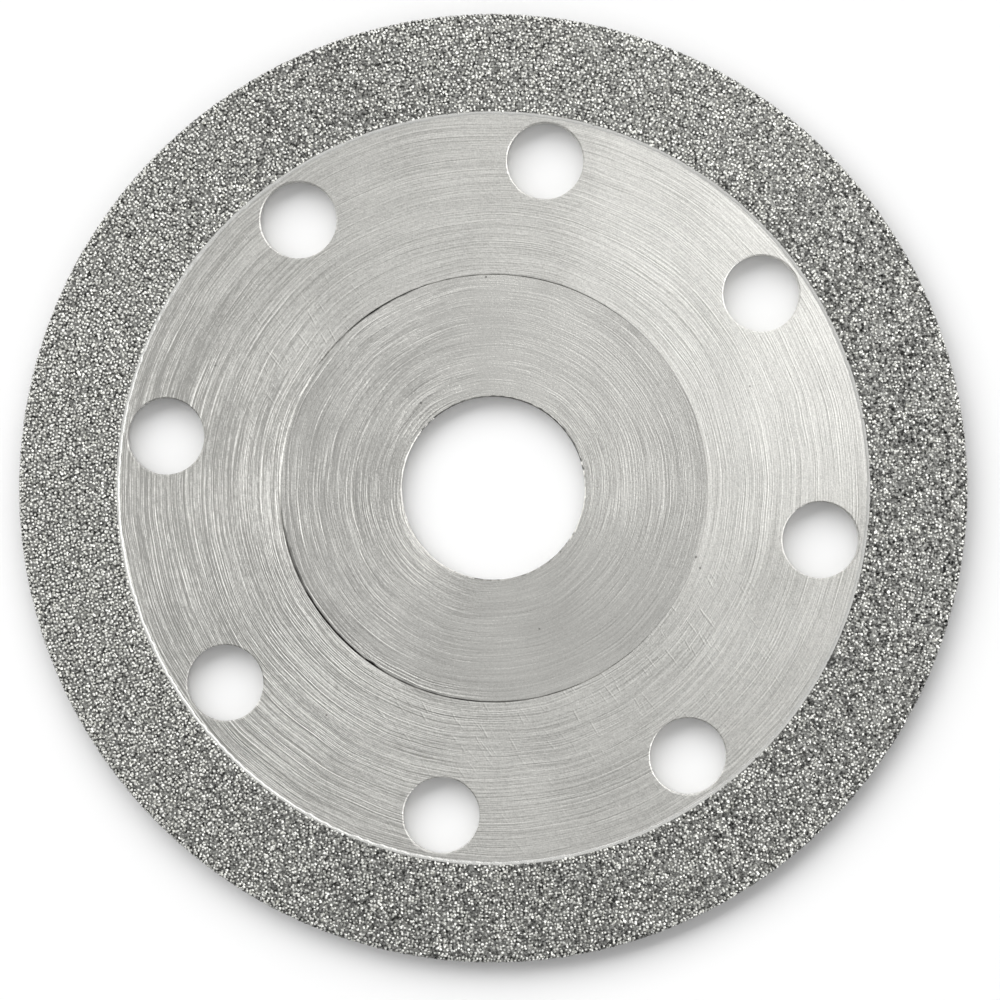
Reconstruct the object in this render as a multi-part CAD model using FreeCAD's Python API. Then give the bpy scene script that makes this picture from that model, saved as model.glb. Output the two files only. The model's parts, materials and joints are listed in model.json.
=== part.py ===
import FreeCAD
import Part

import math
import os

# A diamond cutting disc for an angle grinder: a turned steel blank whose rim carries diamond grit in nickel.
# Millimetres and degrees. The bore's axis is Z, and the disc lies flat on Z = 0.

# Driving dimensions of the disc
disc_diameter = 115.0
bore_diameter = 22.23
bore_edge_break = 0.15

# Driving dimensions of the blank's two faces, which are alike
blank_thickness = 1.8
seat_diameter = 52.0
seat_recess = 0.15
step_wall_run = 0.15
relief_width = 0.3
relief_depth = 0.06

# Driving dimensions of the cooling holes
vent_diameter = 9.3
vent_count = 8
first_vent_angle = 36.0
vent_to_coating = 0.85
vent_edge_break = 0.2

# Driving dimensions of the coating
coating_width = 11.7
coating_thickness = 0.45
coating_inner_bevel = 0.2
coating_corner_radius = 0.6
corner_facets = 4

# How far a cutter runs past the face that it cuts
cutter_overrun = 1.0

# Radii that follow
disc_radius = disc_diameter / 2
bore_radius = bore_diameter / 2
seat_radius = seat_diameter / 2
rim_radius = disc_radius - coating_thickness
coating_inner_radius = disc_radius - coating_width
vent_radius = vent_diameter / 2
vent_circle_radius = coating_inner_radius - vent_to_coating - vent_radius

# Heights above the middle plane that follow
blank_half = blank_thickness / 2
seat_half = blank_half - seat_recess
coating_half = blank_half + coating_thickness

AXIS = FreeCAD.Vector(0, 0, 1)
CENTRE = FreeCAD.Vector(0, 0, 0)


def point(radius, height):
    """A point of the disc's section, with its height counted from the middle plane."""
    return FreeCAD.Vector(radius, 0, height)


def turned_solid(upper_outline):
    """Turn a section that is given above the middle plane and is the same below it."""
    upper = Part.makePolygon(upper_outline)
    lower = upper.mirror(CENTRE, AXIS)
    section = Part.Wire(Part.__sortEdges__(upper.Edges + lower.Edges))
    return Part.Face(section).revolve(CENTRE, AXIS, 360)


def blank_outline():
    """Bore, seat, tool relief at the foot of the step, step, ring and rim."""
    return [
        point(bore_radius, 0),
        point(bore_radius, seat_half - bore_edge_break),
        point(bore_radius + bore_edge_break, seat_half),
        point(seat_radius - relief_width, seat_half),
        point(seat_radius - relief_width / 2, seat_half - relief_depth),
        point(seat_radius, seat_half),
        point(seat_radius + step_wall_run, blank_half),
        point(rim_radius, blank_half),
        point(rim_radius, 0),
    ]


def vent_cutter():
    """Cutter for one cooling hole and its two broken edges, on the hole circle at angle 0."""
    reach = blank_half + cutter_overrun
    drill = Part.makeCylinder(vent_radius, 2 * reach, point(vent_circle_radius, -reach))
    bevel_height = vent_edge_break + cutter_overrun
    bevel_foot = point(vent_circle_radius, blank_half - vent_edge_break)
    upper_bevel = Part.makeCone(vent_radius, vent_radius + bevel_height, bevel_height, bevel_foot)
    lower_bevel = upper_bevel.mirror(CENTRE, AXIS)
    return drill.fuse([upper_bevel, lower_bevel])


def steel_body():
    """The turned blank with its ring of cooling holes."""
    cutters = []
    for index in range(vent_count):
        cutter = vent_cutter()
        cutter.rotate(CENTRE, AXIS, first_vent_angle + index * 360 / vent_count)
        cutters.append(cutter)
    return turned_solid(blank_outline()).cut(cutters)


def coating_corner():
    """Points round the corner between the coating's face and the cutting edge."""
    corner = []
    for index in range(corner_facets + 1):
        turn = math.radians(90 - 90 * index / corner_facets)
        across = coating_corner_radius * (math.cos(turn) - 1)
        up = coating_corner_radius * (math.sin(turn) - 1)
        corner.append(point(disc_radius + across, coating_half + up))
    return corner


def diamond_coating():
    """The plated ring, which wraps the blank's rim from one face over the edge to the other."""
    back_and_inner_edge = [
        point(rim_radius, 0),
        point(rim_radius, blank_half),
        point(coating_inner_radius, blank_half),
        point(coating_inner_radius + coating_inner_bevel, coating_half),
    ]
    return turned_solid(back_and_inner_edge + coating_corner() + [point(disc_radius, 0)])


def write_part(name, solid):
    """Stand the solid with the coating's underside on Z = 0, and write it."""
    solid.translate(point(0, coating_half))
    solid.exportStep("parts/" + name + ".step")


os.makedirs("parts", exist_ok=True)
write_part("steel_body", steel_body())
write_part("diamond_coating", diamond_coating())
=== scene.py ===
import json
import math

import bmesh
import bpy
import numpy as np
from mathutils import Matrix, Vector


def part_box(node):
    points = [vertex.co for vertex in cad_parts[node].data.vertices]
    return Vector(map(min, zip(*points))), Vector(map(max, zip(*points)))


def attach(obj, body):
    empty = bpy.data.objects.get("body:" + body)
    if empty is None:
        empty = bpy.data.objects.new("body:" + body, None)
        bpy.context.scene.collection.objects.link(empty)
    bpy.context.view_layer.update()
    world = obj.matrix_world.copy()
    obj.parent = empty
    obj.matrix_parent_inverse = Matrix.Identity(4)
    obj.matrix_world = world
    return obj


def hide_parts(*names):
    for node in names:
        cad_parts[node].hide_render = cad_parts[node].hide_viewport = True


# Looks of a diamond cutting disc: a turned steel blank, a nickel bond and the grains of grit that it holds.
# Lengths are in metres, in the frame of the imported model: the bore's axis is Z and the disc lies on Z = 0.
# Angles in tables are in degrees, counted from +X towards +Y.

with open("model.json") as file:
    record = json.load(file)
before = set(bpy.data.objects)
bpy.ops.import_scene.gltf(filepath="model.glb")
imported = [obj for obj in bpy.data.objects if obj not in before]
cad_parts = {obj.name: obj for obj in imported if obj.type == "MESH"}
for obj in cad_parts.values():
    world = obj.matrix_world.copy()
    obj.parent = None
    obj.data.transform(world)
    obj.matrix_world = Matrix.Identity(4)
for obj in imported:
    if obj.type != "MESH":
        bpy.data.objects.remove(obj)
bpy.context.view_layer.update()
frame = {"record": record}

MM = 0.001
TURN = 2 * math.pi
random = np.random.default_rng(4117)

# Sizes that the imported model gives
steel_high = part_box("steel_body")[1]
coating_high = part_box("diamond_coating")[1]
mounts = {mount["name"]: mount for mount in frame["record"]["mounts"]}
bore_radius = mounts["bore"]["dims"]["r_mm"] * MM
disc_radius = coating_high.x
rim_radius = steel_high.x
coating_top = coating_high.z
middle = coating_top / 2
blank_half = steel_high.z - middle
seat_half = mounts["upper_flange_seat"]["pos_m"][2] - middle
coating_half = coating_top - middle

# Sizes of the turned faces, the holes and the coated band
seat_radius = 26.0 * MM
land_radius = 27.4 * MM
vent_count = 8
first_vent_angle = math.radians(36)
vent_radius = 4.65 * MM
vent_edge_break = 0.14 * MM
vent_edge_drop = 0.056 * MM
vent_circle_radius = 40.3 * MM
coating_inner_radius = 45.8 * MM
coating_corner_radius = 0.6 * MM
under_coating_radius = coating_inner_radius + 0.5 * MM

# The step round the seat: its crest and foot, the tool relief at its foot, and the ridge on its gentle side
crest_offset = 0.05 * MM
lit_crest_shift = 0.015 * MM
crest_drop = 0.01 * MM
foot_offset = 0.03 * MM
lit_foot_shift = 0.05 * MM
relief_width = 0.3 * MM
relief_depth = 0.06 * MM
gentle_lead = 7.0 * MM
gentle_drop = 0.014 * MM
ridge_height = 0.035 * MM
lead_shares = (0.1, 0.25, 0.45, 0.7, 1.0)

# Rings outside the step's crest: how far out, and their share of the ridge's height
crest_rings = ((0.8 * MM, 0.0), (0.45 * MM, 0.45), (0.15 * MM, 0.9), (0.04 * MM, 1.0))

# The bore's broken and worn edge, and the rings beside it: how far out, and their share of the wear
bore_edge_break = 0.15 * MM
bore_edge_slope = 0.65
least_wear = 0.02 * MM
added_wear = 0.13 * MM
wear_rings = ((0.8 * MM, 0.0), (0.4 * MM, 0.35), (0.0, 1.0))

# Angle and half width of the side where the step runs out gently, where its wall is bright, where it is
# undercut most, and where the bore's edge is worn
gentle_side = (5, 95)
lit_side = (164, 32)
undercut_side = (222, 34)
worn_side = (211, 44)
gentle_gain = 1.6
lit_gain = 1.5

# How far each of these strays round the disc or the hole, and the slowest and fastest wave that it strays in.
# The relief and the broken edge stray by a share of themselves.
crest_ripple = (0.012 * MM, 5, 90)
relief_ripple = (0.2, 5, 60)
edge_break_ripple = (0.12, 9, 70)
bore_edge_ripple = (0.012 * MM, 3, 60)
vent_ripple = (0.016 * MM, 3, 40)
bond_ripple = (0.02 * MM, 200, 260)
lip_edge_ripple = (0.03 * MM, 40, 300)
lip_width_ripple = (0.02 * MM, 2, 60)

# How finely the blank and the bond are divided, how near points are joined, and the angles past which an edge
# is shaded as sharp
weld_distance = 0.0005 * MM
arc_steps = 96
side_steps = 20
sector = TURN / vent_count
vent_ring_shares = (0.55, 0.25, 0.08)
path_points = 2001
bond_steps = 900
bond_stations = 44
steel_sharp_angle = math.radians(15)
bond_sharp_angle = math.radians(40)

# The grit: a grain's size, the distance between neighbours, and how deep the nickel lies under their tips
grain_size = 0.46 * MM
grain_pitch = 0.43 * MM
row_pitch = 0.38 * MM
grain_jitter = 0.3
row_jitter = 0.34
bond_depth = 0.25 * MM
edge_proud = 0.18 * MM
face_proud = 0.03 * MM

# A grain's shape: its corners, how many shapes there are, and the ranges that each grain is drawn from
grain_points = 8
grain_shapes = 24
grain_tries = 12
corner_range = (0.82, 1.0)
size_range = (0.82, 1.16)
stretch_range = (0.85, 1.12)
sunk_range = (0.16, 0.36)
grain_flattening = 0.2

# The smooth lip inside the grit: its width and height, and its section as shares of them
lip_width = 0.36 * MM
lip_height = 0.07 * MM
lip_section = ((0.0, 0.0), (0.25, 0.45), (0.5, 0.8), (0.75, 0.97), (1.0, 1.0))

# The photograph is 1000 pixels wide, and shows the disc this many pixels across, with its centre here
photo_size = 1000
photo_disc_width = 946.5
photo_disc_centre = (493.3, 488.2)
camera_height = 0.6
sensor_width = 36.0
floor_reach = 3.0


def flat_floats(value):
    """An array of plain 32-bit numbers in one row, as meshes take them."""
    return np.ascontiguousarray(value, np.float32).ravel()


def make_piece(name, vertices, faces, material, smooth_angle=None):
    """A mesh object that rides on the disc. Faces that meet at less than smooth_angle are shaded as one."""
    mesh = bpy.data.meshes.new(name)
    mesh.from_pydata(vertices.tolist(), [], faces.tolist())
    mesh.update()
    if smooth_angle is not None:
        weld(mesh)
        mesh.shade_smooth()
        mesh.set_sharp_from_angle(angle=smooth_angle)
    mesh.materials.append(material)
    piece = bpy.data.objects.new(name, mesh)
    bpy.context.scene.collection.objects.link(piece)
    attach(piece, "root")
    return piece


def weld(mesh):
    """Join the borders of patches that lie on each other, and turn all faces outwards."""
    made = bmesh.new()
    made.from_mesh(mesh)
    bmesh.ops.remove_doubles(made, verts=made.verts, dist=weld_distance)
    bmesh.ops.recalc_face_normals(made, faces=made.faces)
    made.to_mesh(mesh)
    made.free()


def strip_of_quads(rings, close_section=False):
    """Vertices and quads that join closed rings of points, each to the next."""
    stack = np.stack(rings)
    count, around = stack.shape[:2]
    pairs = count if close_section else count - 1
    ring = np.arange(pairs)[:, None]
    step = np.arange(around)[None, :]
    following = (step + 1) % around
    above = (ring + 1) % count
    quads = np.stack(
        [ring * around + step, ring * around + following, above * around + following, above * around + step],
        axis=-1,
    )
    return stack.reshape(-1, 3), quads.reshape(-1, 4)


def join_patches(patches):
    """One list of vertices and one of faces for several patches."""
    vertices = []
    faces = []
    offset = 0
    for patch_vertices, patch_faces in patches:
        vertices.append(patch_vertices)
        faces.append(patch_faces + offset)
        offset += len(patch_vertices)
    return np.concatenate(vertices), np.concatenate(faces)


def circle(angles, radius, height):
    """Points at these angles on a circle round the bore. Radius and height are one value or one each."""
    radius = np.broadcast_to(radius, angles.shape)
    height = np.broadcast_to(height, angles.shape)
    return np.stack([radius * np.cos(angles), radius * np.sin(angles), height], axis=-1)


def ripple(angles, amplitude, slowest, fastest):
    """A smooth irregular wave round a circle, from waves that fit it a whole number of times."""
    wave = np.zeros(angles.shape)
    for order in range(slowest, fastest + 1):
        wave += random.normal() * np.cos(order * angles + random.uniform(0, TURN))
    return amplitude * wave / math.sqrt((fastest - slowest + 1) / 2)


# Blank

def bell(angles, middle_angle, half_width):
    """One at this angle, falling to nothing half_width away from it on both sides."""
    away = (angles - math.radians(middle_angle) + math.pi) % TURN - math.pi
    return 0.5 + 0.5 * np.cos(math.pi * np.clip(away / math.radians(half_width), -1, 1))


def both_faces(angles, half):
    """Rings of the upper face, then of the lower, from radii and heights above the disc's middle plane."""
    upper = [circle(angles, radius, middle + height) for radius, height in half]
    lower = [circle(angles, radius, middle - height) for radius, height in reversed(half)]
    return upper + lower


def turned_rings(angles):
    """Rings of the seats and the bore, from the land round the upper step in to the bore and out again below.
    The step is gentle on one side and undercut on another, and the bore's edge is worn near there."""
    gentle = np.clip(gentle_gain * bell(angles, *gentle_side), 0, 1)
    lit = np.clip(lit_gain * bell(angles, *lit_side), 0, 1)
    undercut = bell(angles, *undercut_side)
    worn = bell(angles, *worn_side)
    crest = seat_radius + crest_offset + lit_crest_shift * lit + ripple(angles, *crest_ripple)
    foot = seat_radius - foot_offset - lit_foot_shift * lit
    lead = relief_width * (0.6 + 0.6 * undercut) + gentle_lead * gentle
    depth = relief_depth * (0.4 + 1.4 * undercut - 0.95 * lit) * (1 + ripple(angles, *relief_ripple))
    ridge = ridge_height * gentle
    foot_height = (seat_half - depth) * (1 - gentle) + (blank_half + ridge - gentle_drop) * gentle
    edge_break = bore_edge_break * (1 - 0.75 * worn) * (1 + ripple(angles, *edge_break_ripple))
    edge = bore_radius + edge_break + ripple(angles, *bore_edge_ripple)
    wear = least_wear + added_wear * worn
    half = [(land_radius, blank_half)]
    for distance, share in crest_rings:
        half.append((crest + distance, blank_half + share * ridge))
    half.append((crest, blank_half + ridge - crest_drop))
    half.append((foot, foot_height))
    for share in lead_shares:
        half.append((foot - lead * share, seat_half + (foot_height - seat_half) * (1 - share) ** 2))
    for distance, share in wear_rings:
        half.append((edge + distance, seat_half - share * wear))
    half.append((bore_radius, seat_half - wear - bore_edge_slope * edge_break))
    return both_faces(angles, half)


def rim_rings(angles):
    """Rings of the land under the coating and of the rim."""
    return both_faces(angles, [(under_coating_radius, blank_half), (rim_radius, blank_half)])


def sector_outline(centre_angle):
    """Outline of one hole's share of the ring, from the step's land to under the coating."""
    first = centre_angle - sector / 2
    inner = first + sector * np.arange(arc_steps) / arc_steps
    outer = first + sector - sector * np.arange(arc_steps) / arc_steps
    run = np.arange(side_steps) / side_steps
    outward = land_radius + (under_coating_radius - land_radius) * run
    inward = under_coating_radius + (land_radius - under_coating_radius) * run
    far_side = circle(np.full(side_steps, first + sector), outward, 0)
    near_side = circle(np.full(side_steps, first), inward, 0)
    return np.concatenate([
        circle(inner, land_radius, 0), far_side, circle(outer, under_coating_radius, 0), near_side,
    ])


def vent_rings(centre_angle):
    """Rings from a sector's outline to its hole on the upper face, down the hole and out again below."""
    outline = sector_outline(centre_angle)
    centre = circle(np.array([centre_angle]), vent_circle_radius, 0)
    away = outline - centre
    reach = np.linalg.norm(away, axis=1, keepdims=True)
    way = away / reach
    around = np.arctan2(way[:, 1], way[:, 0])

    def face(side):
        broken = vent_radius + vent_edge_break + ripple(around, *vent_ripple)
        flat = [outline]
        for share in vent_ring_shares:
            flat.append(centre + way * (broken[:, None] * (1 - share) + reach * share))
        flat.append(centre + way * broken[:, None])
        flat = [ring + np.array([0, 0, middle + side * blank_half]) for ring in flat]
        foot = centre + way * vent_radius
        return flat + [foot + np.array([0, 0, middle + side * (blank_half - vent_edge_drop)])]

    return face(1) + list(reversed(face(-1)))


def make_steel_disc(material):
    """The turned blank: seats and bore, eight holed sectors, and the rim under the coating."""
    steps = arc_steps * vent_count
    angles = first_vent_angle - sector / 2 + TURN * np.arange(steps) / steps
    patches = [strip_of_quads(turned_rings(angles)), strip_of_quads(rim_rings(angles))]
    for index in range(vent_count):
        patches.append(strip_of_quads(vent_rings(first_vent_angle + index * sector)))
    vertices, faces = join_patches(patches)
    disc = make_piece("steel_disc", vertices, faces, material, smooth_angle=steel_sharp_angle)
    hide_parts("steel_body")


# Coating

def coating_path():
    """The coating's outer surface in section, from the upper inner edge round the rim to the lower one.
    Gives the length along it, the radius and height, and the outward direction, at closely spaced points."""
    corner_centre = disc_radius + edge_proud - coating_corner_radius
    straight = corner_centre - coating_inner_radius
    edge = 2 * (coating_half - coating_corner_radius)
    quarter = coating_corner_radius * TURN / 4
    length = 2 * straight + 2 * quarter + edge
    along = np.linspace(0, length, path_points)
    folded = np.minimum(along, length - along)
    side = np.where(along <= length / 2, 1.0, -1.0)
    bend = np.clip((folded - straight) / quarter, 0, 1) * TURN / 4
    past = np.clip(folded - straight - quarter, 0, None)
    radius = coating_inner_radius + np.minimum(folded, straight) + coating_corner_radius * np.sin(bend)
    height = side * (coating_half - coating_corner_radius * (1 - np.cos(bend)) - past)
    return along, radius, middle + height, np.sin(bend), side * np.cos(bend)


def nickel_lip(angles, side):
    """Rings of the low smooth lip that the plating leaves on the steel just inside the grit."""
    outer = coating_inner_radius + ripple(angles, *lip_edge_ripple)
    width = lip_width + ripple(angles, *lip_width_ripple)
    rings = []
    for share, rise in lip_section:
        height = middle + side * (blank_half + rise * lip_height)
        rings.append(circle(angles, outer - width * (1 - share), height))
    return rings


def make_nickel_bond(material):
    """The nickel that holds the grit: a U-shaped ring that closes against the blank's faces and rim."""
    along, radius, height, out_radial, out_up = coating_path()
    angles = TURN * np.arange(bond_steps) / bond_steps
    rings = []
    for station in np.linspace(0, along[-1], bond_stations)[1:-1]:
        surface_radius = np.interp(station, along, radius)
        surface_height = np.interp(station, along, height)
        radial = np.interp(station, along, out_radial)
        upward = np.interp(station, along, out_up)
        depth = bond_depth + ripple(angles, *bond_ripple)
        rings.append(circle(angles, surface_radius - radial * depth, surface_height - upward * depth))
    rings = nickel_lip(angles, 1) + rings + list(reversed(nickel_lip(angles, -1)))
    for side in (-1, 1):
        rings.append(circle(angles, rim_radius, middle + side * blank_half))
    vertices, faces = strip_of_quads(rings, close_section=True)
    bond = make_piece("nickel_bond", vertices, faces, material, smooth_angle=bond_sharp_angle)
    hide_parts("diamond_coating")


def crystal_shapes():
    """Irregular convex crystals about one unit across, each with the same number of corners and faces."""
    corners = []
    faces = []
    while len(corners) < grain_shapes:
        made = bmesh.new()
        for direction in spread_directions(grain_points):
            made.verts.new(direction * random.uniform(*corner_range) / 2)
        hull = bmesh.ops.convex_hull(made, input=made.verts, use_existing_faces=False)
        bmesh.ops.triangulate(made, faces=made.faces)
        bmesh.ops.recalc_face_normals(made, faces=made.faces)
        made.verts.index_update()
        if not hull["geom_interior"] and len(made.faces) == 2 * grain_points - 4:
            corners.append([vertex.co[:] for vertex in made.verts])
            faces.append([[vertex.index for vertex in face.verts] for face in made.faces])
        made.free()
    return np.array(corners), np.array(faces)


def spread_directions(count):
    """Unit directions that keep apart from each other: each is the best of several tries."""
    chosen = [unit_vectors(1)[0]]
    while len(chosen) < count:
        tries = unit_vectors(grain_tries)
        nearest = np.max(tries @ np.array(chosen).T, axis=1)
        chosen.append(tries[np.argmin(nearest)])
    return np.array(chosen)


def unit_vectors(count):
    """Random directions, as likely on any side."""
    vectors = random.normal(size=(count, 3))
    return vectors / np.linalg.norm(vectors, axis=1, keepdims=True)


def turning_matrices(count):
    """A random rotation for each grain."""
    first = unit_vectors(count)
    helper = unit_vectors(count)
    second = np.cross(first, helper)
    second /= np.linalg.norm(second, axis=1, keepdims=True)
    third = np.cross(first, second)
    return np.stack([first, second, third], axis=1)


def grain_places(first_station, last_station, along, radius):
    """Lengths along the coating's section and angles round the disc of the grains between two stations."""
    stations = []
    angles = []
    rows = int(round((last_station - first_station) / row_pitch))
    for row in range(rows):
        station = first_station + (row + 0.5) * (last_station - first_station) / rows
        count = int(TURN * np.interp(station, along, radius) / grain_pitch)
        places = np.arange(count) + random.uniform() + random.uniform(-grain_jitter, grain_jitter, count)
        stations.append(station + random.uniform(-row_jitter, row_jitter, count) * row_pitch)
        angles.append(places / count * TURN)
    return np.concatenate(stations), np.concatenate(angles)


def make_grit(name, first_station, last_station, material, shapes, proud):
    """Grains of grit between two stations of the coating's section. No corner stands further out of its outer
    surface than proud, or reaches below the floor."""
    along, radius, height, out_radial, out_up = coating_path()
    stations, angles = grain_places(first_station, last_station, along, radius)
    count = len(stations)
    surface = circle(angles, np.interp(stations, along, radius), np.interp(stations, along, height))
    outward = circle(angles, np.interp(stations, along, out_radial), np.interp(stations, along, out_up))
    size = grain_size * random.uniform(*size_range, count)
    sunk = size * random.uniform(*sunk_range, count)
    centres = surface - outward * sunk[:, None]
    corners, faces = shapes
    pick = random.integers(0, len(corners), count)
    stretch = random.uniform(*stretch_range, (count, 1, 3))
    grains = np.einsum("nij,nkj->nki", turning_matrices(count), corners[pick] * stretch)
    grains *= size[:, None, None]
    grains -= np.einsum("nki,ni->nk", grains, outward)[:, :, None] * outward[:, None, :] * grain_flattening
    grains += centres[:, None, :]
    above = np.einsum("nki,ni->nk", grains - surface[:, None, :], outward)
    grains -= np.clip(above - proud, 0, None)[:, :, None] * outward[:, None, :]
    grains[:, :, 2] = np.maximum(grains[:, :, 2], 0)
    offsets = np.arange(count)[:, None, None] * grain_points
    piece = make_piece(name, grains.reshape(-1, 3), (faces[pick] + offsets).reshape(-1, 3), material)
    tone = piece.data.attributes.new("grain_tone", "FLOAT", "POINT")
    tone.data.foreach_set("value", flat_floats(np.repeat(random.uniform(0, 1, count), grain_points)))


def make_coating(bond_material, grit_material):
    """The bond and the grit on both faces and the edge."""
    make_nickel_bond(bond_material)
    shapes = crystal_shapes()
    length = coating_path()[0][-1]
    straight = disc_radius + edge_proud - coating_corner_radius - coating_inner_radius
    half_face = straight / 2
    make_grit("grit_top_inner", 0, half_face, grit_material, shapes, face_proud)
    make_grit("grit_top_outer", half_face, straight, grit_material, shapes, face_proud)
    make_grit("grit_edge", straight, length - straight, grit_material, shapes, face_proud)
    make_grit("grit_under_outer", length - straight, length - half_face, grit_material, shapes, 0)
    make_grit("grit_under_inner", length - half_face, length, grit_material, shapes, 0)


# Tables for the materials, which measure in millimetres

# Layers of turning marks: how fine across the radius, how fast they change round the bore, and how strong
mark_layers = ((1.7, 1.1, 0.28), (3.9, 1.7, 0.55), (7.0, 2.3, 1.15), (4.6, 40.0, 0.58))

# Layers of scored lines: how fine, how fast they change round the bore, and how rare
scored_layers = ((4.6, 2.4, 0.67), (8.0, 3.0, 0.69))
scored_strength = 0.2
line_pair_spacing = 0.17
line_softness = 0.07

# How far the marks wander from true circles, and over what distance
wander_width = 0.8
wander_scale = 0.11

# How strong the turning marks are everywhere, and what is added at each angle and half width: on the seat,
# then on the ring. The first place is where the tool chattered.
plain_marks = (0.40, 0.82)
stronger_marks = ((200, 78, 0.7, 1.5), (354, 72, 0.36, 0.08), (128, 34, 1.1, 0.15), (300, 40, 0.1, 0.25))

# Evenly spaced grooves on the seat beside the step: the radii where they fade in and out, and their angle
groove_fade_in = (24.2, 25.2)
groove_fade_out = (25.9, 25.7)
grooved_side = (244, 26)
groove_pitch = 0.38
groove_strength = 0.36

# Layers of straight scratches on the ring: direction, how fast they change along it, and how rare
scratch_layers = ((-52, 0.26, 0.715), (-61, 0.33, 0.735))
scratch_fineness = 4.3
scratch_strength = 0.7
scratched_sides = ((147, 25), (257, 24), (312, 36))

# The scratches are strongest by the seat: from this radius in to that one, they go from this strength to that
scratch_fade = (35, 30, 0.45, 1.2)

# How strongly the marks, the grain and the scratches show in the steel's tone, and in its height
marks_in_tone = 0.82
clouds_in_tone = 0.5
grain_in_tone = (0.6, 0.8)
scratches_in_tone = 0.5
grain_in_height = 0.25
scratches_in_height = 0.1
steel_bump = 0.032 * MM

# How light the steel is, and how much lighter it is at each angle and half width, which is painted light and
# shade: on the seat, then on the ring
plain_tone = (0.46, 0.54)
painted_light_on_steel = ((97, 60, 0.2, 0.02), (184, 46, -0.16, -0.19), (350, 44, -0.04, -0.11))

# Painted light and shade on the ring towards the coating: how much lighter it is at each angle and half
# width. From this radius out to that one, that grows from this share to that.
painted_light_outside = ((34, 42, 0.26), (176, 78, -0.24))
outside_growth = (27, 43, 0.25, 1.0)

# Painted shade in the foot of the step: angle, half width, its width and how dark it is
step_shade_places = (
    (121, 17, 0.30, 0.9),
    (98, 40, 0.15, 0.6),
    (137, 18, 0.24, 0.45),
    (200, 20, 0.48, 0.55),
    (219, 26, 0.30, 1.0),
    (235, 3, 0.40, 1.0),
    (260, 60, 0.23, 0.95),
)

# The painted shade starts just outside the step, and its inner edge is soft and uneven
step_shade_start = 0.04
step_shade_outer_fade = (-0.08, 0.04)
step_shade_inner_fade = 0.16
step_shade_unevenness = (0.3, 0.7, 0.75, 1.15)

# Small dark spots on the upper face: place and radius
dark_spot_places = (
    (24.65, -8.37, 2.2, 0.15),
    (25.14, -9.71, 2.2, 0.13),
    (-0.89, 25.69, 2.1, 0.12),
    (-8.79, 10.36, 2.1, 0.14),
    (31.2, 12.4, 2.25, 0.09),
    (-20.3, -27.6, 2.25, 0.10),
    (5.6, -17.1, 2.1, 0.09),
    (-33.8, 14.9, 2.25, 0.08),
)
dark_spot_darkness = 0.75
dark_spot_fade = (0.06, -0.04)

# The grit's tone: each grain's own, broad patches, and painted light and shade, which is how much lighter it
# is at each angle and half width
own_share = 0.7
patch_share = 0.3
painted_light_on_grit = ((178, 70, 0.19), (75, 42, 0.08), (5, 55, -0.05))

# How far in from the coating's faces and its corner the darker edge of painted shade starts, and over what
# distance it fades
edge_shadow_from = 0.25
edge_shadow_fade = 0.3

# The scale of each material's noise: how many of its coarsest bumps a millimetre holds
steel_grain_scale = 5.2
cloud_scale = 0.10
step_shade_scale = 0.5
lump_scale = 3.0
patch_scale = 0.35
frost_scale = 9.0

# Roughness and depth of bumps: on the seat and the ring, on the bond and its lip, and on the grit, where the
# roughness follows the frost from one value to another
steel_roughness = (0.18, 0.33)
bond_roughness = (0.35, 0.2)
bond_bump = (0.04 * MM, 0.01 * MM)
grit_roughness = (0.3, 0.7, 0.30, 0.50)
grit_bump = 0.02 * MM

# Over what distance the seat's finish becomes the ring's, and the lip's the bond's
step_blend = 0.1
lip_blend = 0.06

# Colours
dark_steel = (0.44, 0.435, 0.412)
light_steel = (0.90, 0.892, 0.85)
step_shade_colour = (0.05, 0.049, 0.046)
dark_spot_colour = (0.12, 0.118, 0.11)
# The nickel's lumps run from near black to mid grey: their own lumpy tone, darkened as painted shade of the
# gaps between the grains
shaded_nickel_stops = [(0.38, (0.04, 0.04, 0.038)), (0.62, (0.40, 0.40, 0.382))]
lip_colour = (0.86, 0.86, 0.83)
grit_stops = [
    (0.10, (0.03, 0.03, 0.029)),
    (0.29, (0.42, 0.42, 0.401)),
    (0.46, (0.96, 0.96, 0.917)),
    (0.8, (1.0, 1.0, 0.955)),
]
# Painted shade on the coating's upright edge: its colour and how strongly it is laid on
edge_shadow_colour = (0.06, 0.06, 0.057)
edge_shadow_strength = 0.75
paper_white = (0.98, 0.98, 0.98, 1)


# Materials

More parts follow.
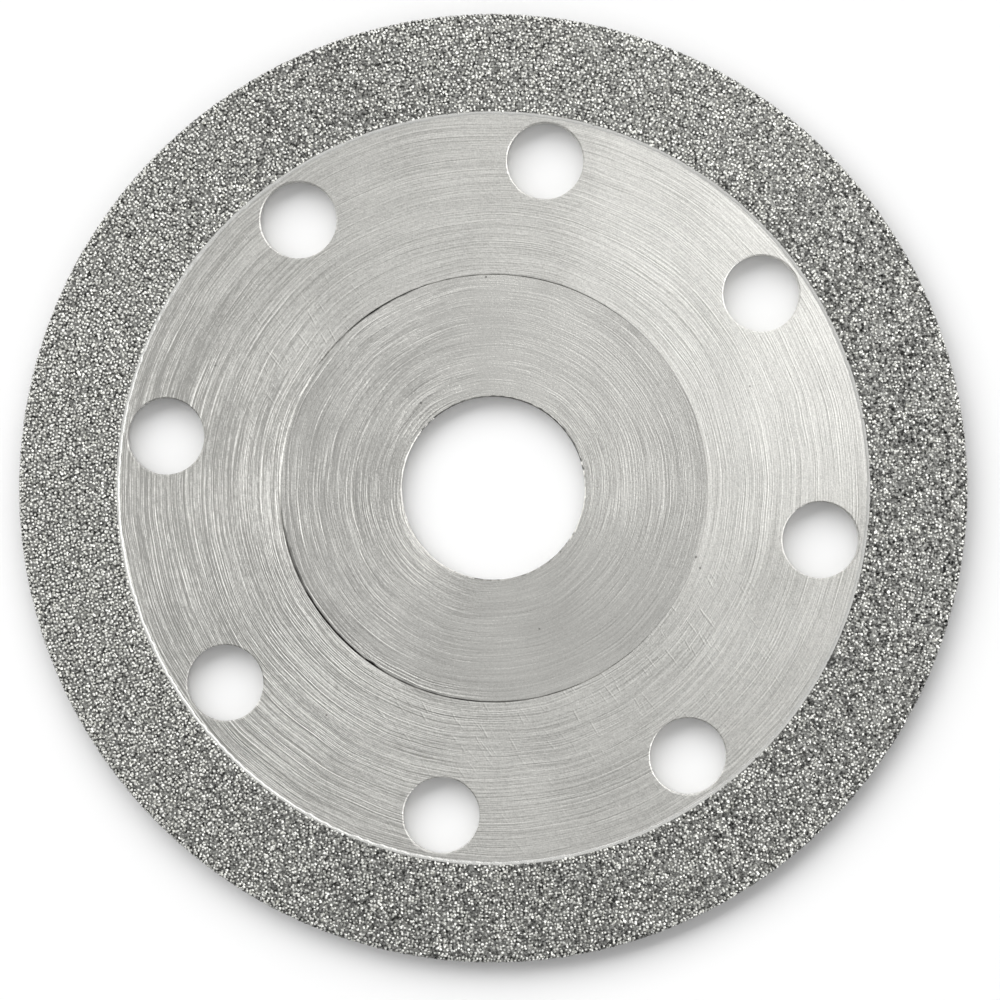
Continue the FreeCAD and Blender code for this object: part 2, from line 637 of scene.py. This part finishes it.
class Graph:
    """Short ways to add nodes to a material."""

    def __init__(self, name):
        self.material = bpy.data.materials.new(name)
        self.material.use_nodes = True
        self.tree = self.material.node_tree
        self.shader = self.tree.nodes["Principled BSDF"]

    def add(self, kind, inputs=None, **settings):
        node = self.tree.nodes.new(kind)
        for key, value in settings.items():
            setattr(node, key, value)
        for key, value in (inputs or {}).items():
            self.put(node.inputs[key], value)
        return node

    def put(self, socket, value):
        if isinstance(value, bpy.types.NodeSocket):
            self.tree.links.new(value, socket)
        else:
            socket.default_value = value

    def math(self, operation, first, second=0.0):
        return self.add("ShaderNodeMath", {0: first, 1: second}, operation=operation).outputs[0]

    def sum(self, first, *others):
        for other in others:
            first = self.math("ADD", first, other)
        return first

    def product(self, first, *others):
        for other in others:
            first = self.math("MULTIPLY", first, other)
        return first

    def blend(self, share, first, second):
        """A number between first and second."""
        return self.add("ShaderNodeMix", {"Factor": share, "A": first, "B": second}).outputs["Result"]

    def tint(self, share, first, second):
        """A colour between first and second. The node's colour sockets come after those for other kinds."""
        inputs = {"Factor": share, 6: first, 7: (*second, 1)}
        return self.add("ShaderNodeMix", inputs, data_type="RGBA").outputs[2]

    def combine(self, x, y, z):
        return self.add("ShaderNodeCombineXYZ", {"X": x, "Y": y, "Z": z}).outputs[0]

    def noise(self, vector, scale, detail):
        inputs = {"Vector": vector, "Scale": scale, "Detail": detail}
        return self.add("ShaderNodeTexNoise", inputs).outputs["Fac"]

    def centred(self, value, strength):
        """A noise's value about nought, times its strength."""
        return self.product(self.math("SUBTRACT", value, 0.5), strength)

    def span(self, value, low, high, new_low=0.0, new_high=1.0):
        """Value from low to high becomes new_low to new_high, and stays there past both ends."""
        inputs = {"Value": value, "From Min": low, "From Max": high, "To Min": new_low, "To Max": new_high}
        return self.add("ShaderNodeMapRange", inputs).outputs["Result"]

    def ramp(self, value, stops):
        node = self.add("ShaderNodeValToRGB", {"Fac": value})
        while len(node.color_ramp.elements) < len(stops):
            node.color_ramp.elements.new(0.5)
        for element, (position, colour) in zip(node.color_ramp.elements, stops):
            element.position = position
            element.color = (*colour, 1)
        return node.outputs["Color"]

    def bump(self, height, distance):
        return self.add("ShaderNodeBump", {"Height": height, "Distance": distance}).outputs["Normal"]

    def shade(self, **inputs):
        for key, value in inputs.items():
            self.put(self.shader.inputs[key.replace("_", " ")], value)


class Place:
    """Where on the disc a point is: in millimetres, and by its radius and its angle round the bore."""

    def __init__(self, graph):
        position = graph.add("ShaderNodeTexCoord").outputs["Object"]
        scaled = graph.add("ShaderNodeVectorMath", {0: position, "Scale": 1 / MM}, operation="SCALE")
        self.millimetres = scaled.outputs[0]
        apart = graph.add("ShaderNodeSeparateXYZ", {0: self.millimetres})
        self.x, self.y, self.z = apart.outputs
        flat = graph.combine(self.x, self.y, 0.0)
        self.radius = graph.add("ShaderNodeVectorMath", {0: flat}, operation="LENGTH").outputs["Value"]
        self.cosine = graph.math("DIVIDE", self.x, self.radius)
        self.sine = graph.math("DIVIDE", self.y, self.radius)


def turning_marks(graph, place, radius, fineness, run, detail=1.0):
    """Streaks that follow the turning: fine across the radius, and long round the bore."""
    across = graph.product(radius, fineness)
    along_x = graph.product(place.cosine, run)
    along_y = graph.product(place.sine, run)
    return graph.noise(graph.combine(across, along_x, along_y), 1.0, detail)


def facing(graph, place, angle, half_width):
    """One at this angle round the bore, falling to nothing half_width degrees away from it on both sides."""
    turn = math.radians(angle)
    along = graph.product(place.cosine, math.cos(turn))
    across = graph.product(place.sine, math.sin(turn))
    return graph.span(graph.sum(along, across), math.cos(math.radians(half_width)), 1.0)


def by_angle(graph, place, sides):
    """A number that changes round the bore: each side adds its amount at its angle, and less beside it."""
    total = 0.0
    for angle, half_width, amount in sides:
        total = graph.sum(total, graph.product(facing(graph, place, angle, half_width), amount))
    return total


def seat_or_ring(graph, on_ring, sides):
    """The same sides with one amount each, which is the first on the seat and the second on the ring."""
    return [(angle, half_width, graph.blend(on_ring, *amounts)) for angle, half_width, *amounts in sides]


def line_pairs(graph, lines_at, sparse):
    """Rare thin lines, each a bright line with a dark one beside it. lines_at gives the noise at a shift."""
    bright, dark = (
        graph.span(lines_at(shift), sparse, sparse + line_softness) for shift in (0.0, line_pair_spacing)
    )
    return graph.math("SUBTRACT", bright, dark)


def scored_lines(graph, place, radius, fineness, run, sparse):
    """Single turned lines."""
    return line_pairs(
        graph,
        lambda shift: turning_marks(graph, place, graph.sum(radius, shift), fineness, run, 0.0),
        sparse,
    )


def straight_scratches(graph, place, direction, run, sparse):
    """Straight thin lines in one direction."""
    turn = math.radians(direction)
    cosine, sine = math.cos(turn), math.sin(turn)
    along = graph.sum(graph.product(place.x, cosine), graph.product(place.y, sine))
    along = graph.product(along, run)
    across = graph.math("SUBTRACT", graph.product(place.y, cosine), graph.product(place.x, sine))

    def lines_at(shift):
        shifted = graph.product(graph.sum(across, shift), scratch_fineness)
        return graph.noise(graph.combine(shifted, along, 0.0), 1.0, 0.0)

    return line_pairs(graph, lines_at, sparse)


def steel_marks(graph, place, on_ring):
    """Turning marks: streaks and scored lines, stronger at some angles, and grooves beside the step."""
    wander = graph.noise(place.millimetres, wander_scale, 1.0)
    tool_radius = graph.sum(place.radius, graph.product(wander, wander_width))
    marks = 0.0
    for fineness, run, layer_strength in mark_layers:
        streaks = turning_marks(graph, place, tool_radius, fineness, run)
        marks = graph.sum(marks, graph.centred(streaks, layer_strength))
    for fineness, run, sparse in scored_layers:
        lines = scored_lines(graph, place, tool_radius, fineness, run, sparse)
        marks = graph.sum(marks, graph.product(lines, scored_strength))
    beside_step = graph.product(
        graph.span(place.radius, *groove_fade_in),
        graph.span(place.radius, *groove_fade_out),
        facing(graph, place, *grooved_side),
    )
    stronger = by_angle(graph, place, seat_or_ring(graph, on_ring, stronger_marks))
    strength = graph.sum(stronger, graph.blend(on_ring, *plain_marks), beside_step)
    grooves = graph.math("SINE", graph.product(tool_radius, TURN / groove_pitch))
    return graph.sum(graph.product(marks, strength), graph.product(grooves, beside_step, groove_strength))


def steel_scratches(graph, place, on_ring):
    """Straight scratches on the ring, in patches at some angles, and mostly near the seat."""
    patchy = 0.0
    for angle, half_width in scratched_sides:
        patchy = graph.math("MAXIMUM", patchy, facing(graph, place, angle, half_width))
    strokes = 0.0
    for direction, run, sparse in scratch_layers:
        strokes = graph.sum(strokes, straight_scratches(graph, place, direction, run, sparse))
    near_seat = graph.span(place.radius, *scratch_fade)
    return graph.product(strokes, scratch_strength, graph.math("POWER", patchy, 0.5), on_ring, near_seat)


def steel_tone(graph, place, on_ring, marks, grain, strokes):
    """How light the steel is: marks, grain, scratches, faint clouds, and broad painted light and shade round
    the bore.
    """
    clouds = graph.noise(place.millimetres, cloud_scale, 2.0)
    outward = graph.span(place.radius, *outside_growth)
    return graph.sum(
        graph.product(marks, marks_in_tone),
        graph.centred(clouds, clouds_in_tone),
        graph.centred(grain, graph.blend(on_ring, *grain_in_tone)),
        graph.product(strokes, scratches_in_tone),
        # Painted light and shade: lighter and darker at some angles round the bore, and on the ring towards
        # the coating
        by_angle(graph, place, seat_or_ring(graph, on_ring, painted_light_on_steel)),
        graph.product(by_angle(graph, place, painted_light_outside), outward, on_ring),
        graph.blend(on_ring, *plain_tone),
    )


def painted_step_shade(graph, place):
    """Painted shade in the foot of the step, wider at some angles than at others, and none where the step is
    gentle or where its wall is bright."""
    inward = graph.math("SUBTRACT", seat_radius / MM + step_shade_start, place.radius)
    uneven = graph.span(graph.noise(place.millimetres, step_shade_scale, 2.0), *step_shade_unevenness)
    total = 0.0
    for angle, half_width, widest, darkest in step_shade_places:
        width = graph.product(facing(graph, place, angle, half_width), widest, uneven)
        inside = graph.span(graph.math("SUBTRACT", width, inward), 0.0, step_shade_inner_fade, 0.0, darkest)
        total = graph.math("MAXIMUM", total, inside)
    return graph.product(total, graph.span(inward, *step_shade_outer_fade))


def dark_spots(graph, place):
    """A few small dark spots on the upper face."""
    total = 0.0
    for x, y, z, size in dark_spot_places:
        inputs = {0: place.millimetres, 1: (x, y, z)}
        away = graph.add("ShaderNodeVectorMath", inputs, operation="DISTANCE").outputs["Value"]
        rim, floor = (size + fade for fade in dark_spot_fade)
        total = graph.math("MAXIMUM", total, graph.span(away, rim, floor, 0.0, dark_spot_darkness))
    return total


def turned_steel():
    """Bright turned steel: concentric marks, a fine grain, faint scratches across the ring and small dark
    spots.
    """
    graph = Graph("turned_steel")
    place = Place(graph)
    on_ring = graph.span(place.radius, seat_radius / MM, seat_radius / MM + step_blend)
    marks = steel_marks(graph, place, on_ring)
    grain = graph.noise(place.millimetres, steel_grain_scale, 1.0)
    strokes = steel_scratches(graph, place, on_ring)
    height = graph.sum(
        marks,
        graph.centred(grain, grain_in_height),
        graph.product(strokes, scratches_in_height),
    )
    tone = steel_tone(graph, place, on_ring, marks, grain, strokes)
    colour = graph.ramp(tone, [(0.0, dark_steel), (1.0, light_steel)])
    # Painted shade darkens the foot of the step
    colour = graph.tint(painted_step_shade(graph, place), colour, step_shade_colour)
    colour = graph.tint(dark_spots(graph, place), colour, dark_spot_colour)
    graph.shade(
        Base_Color=colour,
        Roughness=graph.blend(on_ring, *steel_roughness),
        Metallic=1.0,
        Anisotropic=0.6,
        Anisotropic_Rotation=0.25,
        Normal=graph.bump(height, steel_bump),
        Tangent=graph.add("ShaderNodeTangent", direction_type="RADIAL", axis="Z").outputs[0],
    )
    return graph.material


def shadow_darkened_edge(graph, place, colour):
    """The colour on the coating's faces, and a darker one on its upright edge: painted shade, so that the
    edge throws less light onto the floor beside the rim.
    """
    from_middle = graph.math("ABSOLUTE", graph.math("SUBTRACT", place.z, middle / MM))
    shadow_height = coating_half / MM - edge_shadow_from
    shadow_radius = (disc_radius - coating_corner_radius) / MM
    edge = graph.product(
        graph.span(from_middle, shadow_height, shadow_height - edge_shadow_fade),
        graph.span(place.radius, shadow_radius, shadow_radius + edge_shadow_fade),
    )
    return graph.tint(graph.product(edge, edge_shadow_strength), colour, edge_shadow_colour)


def nickel():
    """Rough plated nickel between the grains, darkened with painted shade of the gaps between them, with a
    smooth bright lip at its inner edge.
    """
    graph = Graph("nickel_bond")
    place = Place(graph)
    lumps = graph.noise(place.millimetres, lump_scale, 3.0)
    lip = graph.span(place.radius, coating_inner_radius / MM + lip_blend, coating_inner_radius / MM)
    # The lumps' dark tones are painted shade of the gaps between the grains
    colour = graph.tint(lip, graph.ramp(lumps, shaded_nickel_stops), lip_colour)
    graph.shade(
        Base_Color=shadow_darkened_edge(graph, place, colour),
        Roughness=graph.blend(lip, *bond_roughness),
        Metallic=1.0,
        Normal=graph.bump(lumps, graph.blend(lip, *bond_bump)),
    )
    return graph.material


def diamond_grit():
    """Grey crystals in nickel: each grain has its own tone, broad patches differ a little, and painted light
    and shade makes it lighter or darker at some angles round the bore.
    """
    graph = Graph("diamond_grit")
    place = Place(graph)
    own_tone = graph.add("ShaderNodeAttribute", attribute_name="grain_tone").outputs["Fac"]
    patches = graph.noise(place.millimetres, patch_scale, 2.0)
    tone = graph.sum(
        graph.product(own_tone, own_share),
        graph.product(patches, patch_share),
        # Painted light and shade: lighter or darker at some angles round the bore
        by_angle(graph, place, painted_light_on_grit),
    )
    frost = graph.noise(place.millimetres, frost_scale, 2.0)
    graph.shade(
        Base_Color=shadow_darkened_edge(graph, place, graph.ramp(tone, grit_stops)),
        Roughness=graph.span(frost, *grit_roughness),
        Metallic=1.0,
        Normal=graph.bump(frost, grit_bump),
    )
    return graph.material


def pale_floor():
    """Plain white paper under the disc."""
    graph = Graph("pale_floor")
    graph.shade(Base_Color=paper_white, Roughness=0.9, Specular_IOR_Level=0.0)
    return graph.material


# Stage

def make_floor():
    """A large plain floor under the disc."""
    corners = [(x * floor_reach, y * floor_reach, 0) for x, y in ((-1, -1), (1, -1), (1, 1), (-1, 1))]
    mesh = bpy.data.meshes.new("floor")
    mesh.from_pydata(corners, [], [(0, 1, 2, 3)])
    mesh.materials.append(pale_floor())
    floor = bpy.data.objects.new("floor", mesh)
    bpy.context.scene.collection.objects.link(floor)


def make_softbox(name, azimuth, elevation, distance, size, brightness, in_reflections=True):
    """An area lamp that points at the disc. Azimuth counts from +X towards +Y. Its face is as bright as said.
    It is seen in reflections and leaves the floor alone, or else it lights the floor and isn't reflected."""
    lamp = bpy.data.lights.new(name, "AREA")
    lamp.shape = "RECTANGLE"
    lamp.size, lamp.size_y = size
    lamp.energy = brightness * math.pi * lamp.size * lamp.size_y
    softbox = bpy.data.objects.new(name, lamp)
    turn, rise = math.radians(azimuth), math.radians(elevation)
    direction = np.array([math.cos(turn) * math.cos(rise), math.sin(turn) * math.cos(rise), math.sin(rise)])
    softbox.location = direction * distance
    softbox.rotation_euler = (math.pi / 2 - rise, 0, turn + math.pi / 2)
    softbox.visible_camera = False
    softbox.visible_glossy = in_reflections
    softbox.visible_diffuse = not in_reflections
    bpy.context.scene.collection.objects.link(softbox)


def make_world(level, horizon, zenith, rises_from):
    """Even white light from all round, at this level. Reflections see other levels: the horizon's below a
    direction's height of rises_from, and more above it, up to the zenith's."""
    world = bpy.data.worlds.new("studio")
    world.use_nodes = True
    tree = world.node_tree
    background = tree.nodes["Background"]
    direction = tree.nodes.new("ShaderNodeTexCoord").outputs["Generated"]
    glossy = tree.nodes.new("ShaderNodeLightPath").outputs["Is Glossy Ray"]
    apart = tree.nodes.new("ShaderNodeSeparateXYZ")
    reflected = tree.nodes.new("ShaderNodeMapRange")
    reflected.interpolation_type = "SMOOTHSTEP"
    reflected.inputs["From Min"].default_value = rises_from
    reflected.inputs["To Min"].default_value = horizon
    reflected.inputs["To Max"].default_value = zenith
    strength = tree.nodes.new("ShaderNodeMix")
    strength.inputs["A"].default_value = level
    tree.links.new(direction, apart.inputs[0])
    tree.links.new(apart.outputs["Z"], reflected.inputs["Value"])
    tree.links.new(reflected.outputs["Result"], strength.inputs["B"])
    tree.links.new(glossy, strength.inputs["Factor"])
    tree.links.new(strength.outputs["Result"], background.inputs["Strength"])
    background.inputs["Color"].default_value = (1.0, 1.0, 1.0, 1)
    bpy.context.scene.world = world


def make_camera():
    """A long lens straight above the disc, framed as the photograph is."""
    camera = bpy.data.cameras.new("camera")
    view = bpy.data.objects.new("camera", camera)
    pixel = 2 * disc_radius / photo_disc_width
    camera.sensor_width = sensor_width
    camera.lens = sensor_width * (camera_height - coating_top) / (photo_size * pixel)
    across = (photo_size / 2 - photo_disc_centre[0]) * pixel
    up = (photo_disc_centre[1] - photo_size / 2) * pixel
    view.location = (across, up, camera_height)
    bpy.context.scene.collection.objects.link(view)
    bpy.context.scene.camera = view


make_steel_disc(turned_steel())
make_coating(nickel(), diamond_grit())
make_floor()
make_world(level=0.5, horizon=0.08, zenith=0.65, rises_from=0.45)
make_softbox(
    "key", azimuth=114, elevation=41, distance=4.0, size=(9.8, 3.0), brightness=2.74, in_reflections=False,
)
make_softbox("right_high", azimuth=31, elevation=62, distance=0.3, size=(0.2, 0.2), brightness=0.8)
make_softbox("right_low", azimuth=-6, elevation=26, distance=0.8, size=(0.9, 0.9), brightness=1.6)
make_softbox("far_low", azimuth=56, elevation=24, distance=0.6, size=(0.4, 0.4), brightness=1.5)
make_softbox("left_low", azimuth=168, elevation=24, distance=0.4, size=(0.3, 0.3), brightness=1.35)
make_softbox("top", azimuth=110, elevation=38, distance=0.5, size=(0.4, 0.4), brightness=0.8)
make_camera()

bpy.context.scene.view_settings.view_transform = "Standard"
